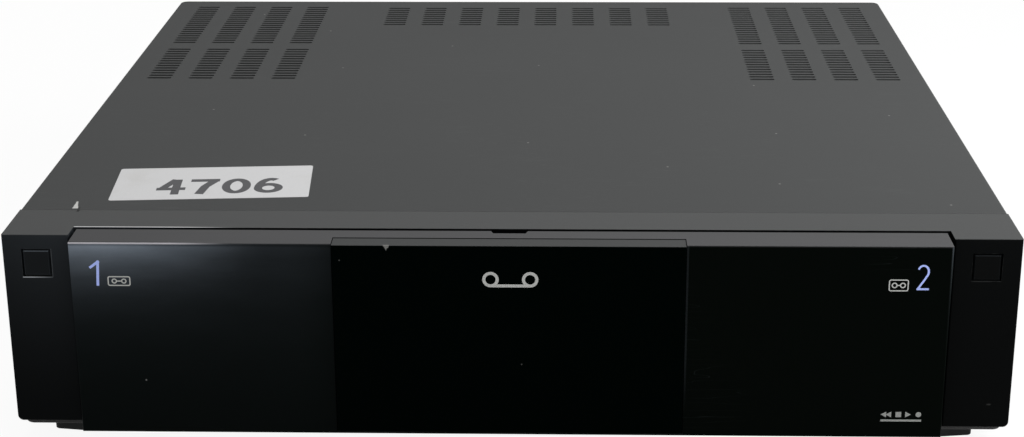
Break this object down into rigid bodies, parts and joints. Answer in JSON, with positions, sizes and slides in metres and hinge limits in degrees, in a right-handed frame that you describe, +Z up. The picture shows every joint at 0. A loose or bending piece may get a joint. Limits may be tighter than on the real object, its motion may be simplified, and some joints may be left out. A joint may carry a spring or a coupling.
{
  "type": "twin-deck video tape player",
  "caption": "Wide flat tape player: a grey vented cover, and a full-width black door that swings down over two cassette mouths with their keys, dial and display.",
  "frame": {"origin": "on the surface that the feet stand on, under the middle of the whole player", "axes": "+X to the right seen from the front, +Y to the rear, +Z up"},
  "size_m": [0.4324, 0.433, 0.0957],
  "materials": {
    "cover_paint": "dark grey fine-textured paint",
    "bezel_plastic": "dark grey satin moulding",
    "tray_steel": "dark grey satin paint",
    "foot_plastic": "dark grey matt plastic",
    "rear_paint": "black satin paint",
    "screw_steel": "blackened steel",
    "label_paper": "white paper",
    "door_plastic": "black gloss",
    "window_plastic": "black high gloss",
    "button_plastic": "black satin",
    "panel_plastic": "black satin",
    "flap_plastic": "black satin",
    "key_plastic": "dark grey satin",
    "dial_plastic": "dark grey satin",
    "lens_plastic": "clear tinted",
    "display_glass": "dark glass",
    "plain_steel": "bright",
    "tin_plate": "zinc plated",
    "socket_metal": "nickel plated",
    "drum_aluminium": "turned",
    "core_iron": "varnished laminations",
    "board_green": "green circuit board",
    "board_brown": "brown circuit board",
    "part_black": "black moulding",
    "gear_plastic": "white acetal",
    "roller_rubber": "black rubber"
  },
  "bodies": {
    "case": {"bottom_tray": "tray_steel", "case_screws": "screw_steel", "deck_pillars": "plain_steel", "dial_encoder": "plain_steel", "display_lens": "lens_plastic", "display_tube": "display_glass", "door_hinge_pins": "screw_steel", "door_magnets": "plain_steel", "feet": "foot_plastic", "front_bezel": "bezel_plastic", "front_board": "board_green", "inner_panel": "panel_plastic", "loading_motors": "plain_steel", "main_board": "board_green", "mains_inlet": "part_black", "mini_deck_plate": "tin_plate", "mini_drum_base": "drum_aluminium", "paper_label": "label_paper", "phono_jacks": "socket_metal", "power_board": "board_brown", "push_switches": "part_black", "rear_panel": "rear_paint", "scart_sockets": "part_black", "side_boards": "board_green", "top_cover": "cover_paint", "transformer": "core_iron", "tuner_box": "tin_plate", "vhs_deck_plate": "tin_plate", "vhs_drum_base": "drum_aluminium"},
    "door": {"front_door": "door_plastic", "door_window": "window_plastic"},
    "left_button": {"left_button": "button_plastic"},
    "right_button": {"right_button": "button_plastic"},
    "jog_dial": {"jog_dial": "dial_plastic"},
    "mini_key_1": {"mini_key_1": "key_plastic"},
    "mini_key_2": {"mini_key_2": "key_plastic"},
    "mini_key_3": {"mini_key_3": "key_plastic"},
    "mini_key_4": {"mini_key_4": "key_plastic"},
    "mini_flap": {"mini_flap": "flap_plastic"},
    "mini_holder": {"mini_holder": "tin_plate"},
    "mini_cam_gear": {"mini_cam_gear": "gear_plastic"},
    "mini_supply_hub": {"mini_supply_hub": "gear_plastic"},
    "mini_takeup_hub": {"mini_takeup_hub": "gear_plastic"},
    "mini_drum": {"mini_drum": "drum_aluminium"},
    "mini_capstan": {"mini_capstan": "plain_steel"},
    "mini_pinch_arm": {"mini_pinch_arm": "tin_plate"},
    "mini_pinch_roller": {"mini_pinch_roller": "roller_rubber"},
    "vhs_key_1": {"vhs_key_1": "key_plastic"},
    "vhs_key_2": {"vhs_key_2": "key_plastic"},
    "vhs_key_3": {"vhs_key_3": "key_plastic"},
    "vhs_key_4": {"vhs_key_4": "key_plastic"},
    "vhs_flap": {"vhs_flap": "flap_plastic"},
    "vhs_holder": {"vhs_holder": "tin_plate"},
    "vhs_cam_gear": {"vhs_cam_gear": "gear_plastic"},
    "vhs_supply_hub": {"vhs_supply_hub": "gear_plastic"},
    "vhs_takeup_hub": {"vhs_takeup_hub": "gear_plastic"},
    "vhs_drum": {"vhs_drum": "drum_aluminium"},
    "vhs_capstan": {"vhs_capstan": "plain_steel"},
    "vhs_pinch_arm": {"vhs_pinch_arm": "tin_plate"},
    "vhs_pinch_roller": {"vhs_pinch_roller": "roller_rubber"}
  },
  "joints": [
    {"name": "door_swing", "type": "hinge", "parent": "case", "child": "door", "pos_m": [0, -0.2053, 0.0152], "axis": [1, 0, 0], "range_deg": [0, 90]},
    {"name": "left_button_press", "type": "slide", "parent": "case", "child": "left_button", "axis": [0, 1, 0], "range_m": [0, 0.0016], "stiffness_N_per_m": 500},
    {"name": "right_button_press", "type": "slide", "parent": "case", "child": "right_button", "axis": [0, 1, 0], "range_m": [0, 0.0016], "stiffness_N_per_m": 500},
    {"name": "dial_turn", "type": "hinge", "parent": "case", "child": "jog_dial", "pos_m": [0.128, -0.1932, 0.028], "axis": [0, 1, 0], "continuous": true},
    {"name": "mini_key_1_press", "type": "slide", "parent": "case", "child": "mini_key_1", "axis": [0, 1, 0], "range_m": [0, 0.0012], "stiffness_N_per_m": 400},
    {"name": "mini_key_2_press", "type": "slide", "parent": "case", "child": "mini_key_2", "axis": [0, 1, 0], "range_m": [0, 0.0012], "stiffness_N_per_m": 400},
    {"name": "mini_key_3_press", "type": "slide", "parent": "case", "child": "mini_key_3", "axis": [0, 1, 0], "range_m": [0, 0.0012], "stiffness_N_per_m": 400},
    {"name": "mini_key_4_press", "type": "slide", "parent": "case", "child": "mini_key_4", "axis": [0, 1, 0], "range_m": [0, 0.0012], "stiffness_N_per_m": 400},
    {"name": "mini_flap_swing", "type": "hinge", "parent": "case", "child": "mini_flap", "pos_m": [-0.13, -0.1892, 0.09], "axis": [1, 0, 0], "range_deg": [0, 88], "stiffness_Nm_per_rad": 0.004, "springref_deg": -17.19},
    {"name": "mini_holder_drop", "type": "slide", "parent": "case", "child": "mini_holder", "axis": [0, 0, -1], "range_m": [0, 0.017]},
    {"name": "mini_cam_turn", "type": "hinge", "parent": "case", "child": "mini_cam_gear", "pos_m": [-0.1641, -0.0687, 0.0511], "axis": [0, 0, 1], "range_deg": [0, 181]},
    {"name": "mini_supply_turn", "type": "hinge", "parent": "case", "child": "mini_supply_hub", "pos_m": [-0.149, -0.13595, 0.0511], "axis": [0, 0, 1], "continuous": true},
    {"name": "mini_takeup_turn", "type": "hinge", "parent": "case", "child": "mini_takeup_hub", "pos_m": [-0.111, -0.13595, 0.0511], "axis": [0, 0, 1], "continuous": true},
    {"name": "mini_drum_turn", "type": "hinge", "parent": "case", "child": "mini_drum", "pos_m": [-0.13, -0.0687, 0.0511], "axis": [0, -0.1045, 0.9945], "continuous": true},
    {"name": "mini_capstan_turn", "type": "hinge", "parent": "case", "child": "mini_capstan", "pos_m": [-0.1, -0.0737, 0.0511], "axis": [0, 0, 1], "continuous": true},
    {"name": "mini_pinch_swing", "type": "hinge", "parent": "case", "child": "mini_pinch_arm", "pos_m": [-0.0942, -0.0597, 0.0511], "axis": [0, 0, -1], "range_deg": [0, 15]},
    {"name": "mini_roller_turn", "type": "hinge", "parent": "mini_pinch_arm", "child": "mini_pinch_roller", "pos_m": [-0.09058, -0.07322, 0.0511], "axis": [0, 0, 1], "continuous": true},
    {"name": "vhs_key_1_press", "type": "slide", "parent": "case", "child": "vhs_key_1", "axis": [0, 1, 0], "range_m": [0, 0.0012], "stiffness_N_per_m": 400},
    {"name": "vhs_key_2_press", "type": "slide", "parent": "case", "child": "vhs_key_2", "axis": [0, 1, 0], "range_m": [0, 0.0012], "stiffness_N_per_m": 400},
    {"name": "vhs_key_3_press", "type": "slide", "parent": "case", "child": "vhs_key_3", "axis": [0, 1, 0], "range_m": [0, 0.0012], "stiffness_N_per_m": 400},
    {"name": "vhs_key_4_press", "type": "slide", "parent": "case", "child": "vhs_key_4", "axis": [0, 1, 0], "range_m": [0, 0.0012], "stiffness_N_per_m": 400},
    {"name": "vhs_flap_swing", "type": "hinge", "parent": "case", "child": "vhs_flap", "pos_m": [0.084, -0.1892, 0.09], "axis": [1, 0, 0], "range_deg": [0, 88], "stiffness_Nm_per_rad": 0.004, "springref_deg": -17.19},
    {"name": "vhs_holder_drop", "type": "slide", "parent": "case", "child": "vhs_holder", "axis": [0, 0, -1], "range_m": [0, 0.022]},
    {"name": "vhs_cam_turn", "type": "hinge", "parent": "case", "child": "vhs_cam_gear", "pos_m": [0.0219, -0.0072, 0.0361], "axis": [0, 0, 1], "range_deg": [0, 181]},
    {"name": "vhs_supply_turn", "type": "hinge", "parent": "case", "child": "vhs_supply_hub", "pos_m": [0.039, -0.1057, 0.0361], "axis": [0, 0, 1], "continuous": true},
    {"name": "vhs_takeup_turn", "type": "hinge", "parent": "case", "child": "vhs_takeup_hub", "pos_m": [0.129, -0.1057, 0.0361], "axis": [0, 0, 1], "continuous": true},
    {"name": "vhs_drum_turn", "type": "hinge", "parent": "case", "child": "vhs_drum", "pos_m": [0.084, -0.0072, 0.0361], "axis": [0, -0.1045, 0.9945], "continuous": true},
    {"name": "vhs_capstan_turn", "type": "hinge", "parent": "case", "child": "vhs_capstan", "pos_m": [0.133, -0.0122, 0.0361], "axis": [0, 0, 1], "continuous": true},
    {"name": "vhs_pinch_swing", "type": "hinge", "parent": "case", "child": "vhs_pinch_arm", "pos_m": [0.1428, 0.0118, 0.0361], "axis": [0, 0, -1], "range_deg": [0, 15]},
    {"name": "vhs_roller_turn", "type": "hinge", "parent": "vhs_pinch_arm", "child": "vhs_pinch_roller", "pos_m": [0.14901, -0.01138, 0.0361], "axis": [0, 0, 1], "continuous": true}
  ],
  "couplings": [
    {"joint": "mini_cam_turn", "follows": "mini_holder_drop", "rad_per_m": 184.8},
    {"joint": "vhs_cam_turn", "follows": "vhs_holder_drop", "rad_per_m": 142.8}
  ]
}
